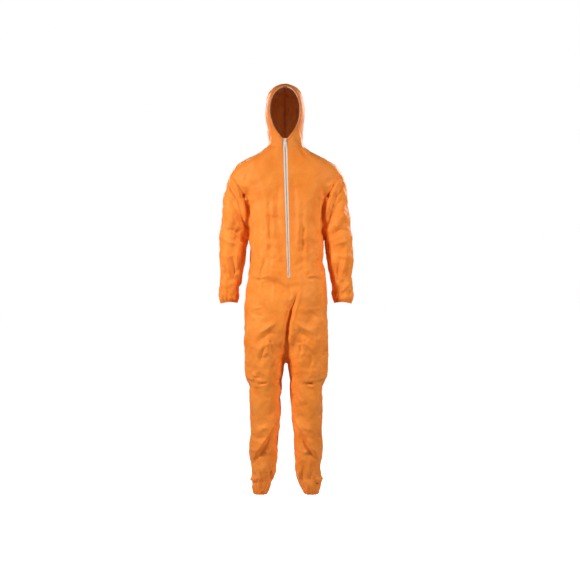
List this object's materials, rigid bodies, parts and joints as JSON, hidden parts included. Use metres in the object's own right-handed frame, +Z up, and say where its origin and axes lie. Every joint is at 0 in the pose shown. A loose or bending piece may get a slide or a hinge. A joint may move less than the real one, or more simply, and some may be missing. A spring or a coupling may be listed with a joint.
{
  "type": "protective coverall",
  "caption": "Hooded disposable protective coverall with a front zip, set-in sleeves and elastic at the face, wrists, waist and ankles.",
  "frame": {"origin": "middle of the shoulder line inside the neck, where the wearer's shoulders or a hanger hold the garment up", "axes": "+Z up, -Y out of the chest, +X to the wearer's left"},
  "size_m": [0.568, 0.268, 1.72],
  "materials": {
    "cloth": "laminated nonwoven polypropylene, soft sheen",
    "hem_cloth": "nonwoven turned hem, gathered",
    "zip_white": "white woven polyester zip tape and nylon coil",
    "elastic": "white covered elastic",
    "zip_metal": "white lacquered zinc slider and stops",
    "label": "blank white woven size label"
  },
  "bodies": {
    "torso": {"front_panel_left": "cloth", "back_panel_left": "cloth", "collar_left": "cloth", "armhole_band_left": "cloth", "leg_top_band_left": "cloth", "zip_tape_left": "zip_white", "zip_coil_left": "zip_white", "zip_top_stop_left": "zip_metal", "front_panel_right": "cloth", "back_panel_right": "cloth", "collar_right": "cloth", "armhole_band_right": "cloth", "leg_top_band_right": "cloth", "zip_tape_right": "zip_white", "zip_coil_right": "zip_white", "zip_top_stop_right": "zip_metal", "waist_elastic": "elastic", "neck_label": "label", "zip_bottom_stop": "zip_metal"},
    "hood": {"hood_panel_left": "cloth", "hood_panel_right": "cloth", "face_hem": "hem_cloth", "face_elastic": "elastic"},
    "sleeve_left": {"sleeve_left": "cloth", "cuff_hem_left": "hem_cloth", "wrist_elastic_left": "elastic"},
    "sleeve_right": {"sleeve_right": "cloth", "cuff_hem_right": "hem_cloth", "wrist_elastic_right": "elastic"},
    "thigh_left": {"thigh_left": "cloth", "knee_band_left": "cloth"},
    "thigh_right": {"thigh_right": "cloth", "knee_band_right": "cloth"},
    "shin_left": {"shin_left": "cloth", "ankle_hem_left": "hem_cloth", "ankle_elastic_left": "elastic"},
    "shin_right": {"shin_right": "cloth", "ankle_hem_right": "hem_cloth", "ankle_elastic_right": "elastic"},
    "zip_slider": {"zip_slider": "zip_metal"},
    "zip_pull": {"zip_pull": "zip_metal"}
  },
  "joints": [
    {"name": "hood_fold", "type": "hinge", "parent": "torso", "child": "hood", "pos_m": [0, 0.068, 0.022], "axis": [-1, 0, 0], "range_deg": [0, 95], "deforming": ["collar_left", "collar_right"]},
    {"name": "sleeve_raise_left", "type": "hinge", "parent": "torso", "child": "sleeve_left", "pos_m": [0.205, 0, -0.234], "axis": [0, -1, 0], "range_deg": [0, 60], "deforming": ["armhole_band_left"]},
    {"name": "sleeve_raise_right", "type": "hinge", "parent": "torso", "child": "sleeve_right", "pos_m": [-0.205, 0, -0.234], "axis": [0, 1, 0], "range_deg": [0, 60], "deforming": ["armhole_band_right"]},
    {"name": "hip_bend_left", "type": "hinge", "parent": "torso", "child": "thigh_left", "pos_m": [0.09, 0, -0.75], "axis": [-1, 0, 0], "range_deg": [-10, 45], "deforming": ["leg_top_band_left"]},
    {"name": "knee_bend_left", "type": "hinge", "parent": "thigh_left", "child": "shin_left", "pos_m": [0.09, 0.045, -1.01], "axis": [1, 0, 0], "range_deg": [0, 80], "deforming": ["knee_band_left"]},
    {"name": "hip_bend_right", "type": "hinge", "parent": "torso", "child": "thigh_right", "pos_m": [-0.09, 0, -0.75], "axis": [-1, 0, 0], "range_deg": [-10, 45], "deforming": ["leg_top_band_right"]},
    {"name": "knee_bend_right", "type": "hinge", "parent": "thigh_right", "child": "shin_right", "pos_m": [-0.09, 0.045, -1.01], "axis": [1, 0, 0], "range_deg": [0, 80], "deforming": ["knee_band_right"]},
    {"name": "zip_slide", "type": "slide", "parent": "torso", "child": "zip_slider", "axis": [0.0275, -0.0826, -0.9962], "range_m": [0, 0.554], "deforming": ["zip_coil_left", "zip_coil_right"]},
    {"name": "pull_swing", "type": "hinge", "parent": "zip_slider", "child": "zip_pull", "pos_m": [-0.00378, -0.09448, 0.03001], "axis": [-0.9996, 0, -0.0276], "range_deg": [0, 150]}
  ]
}
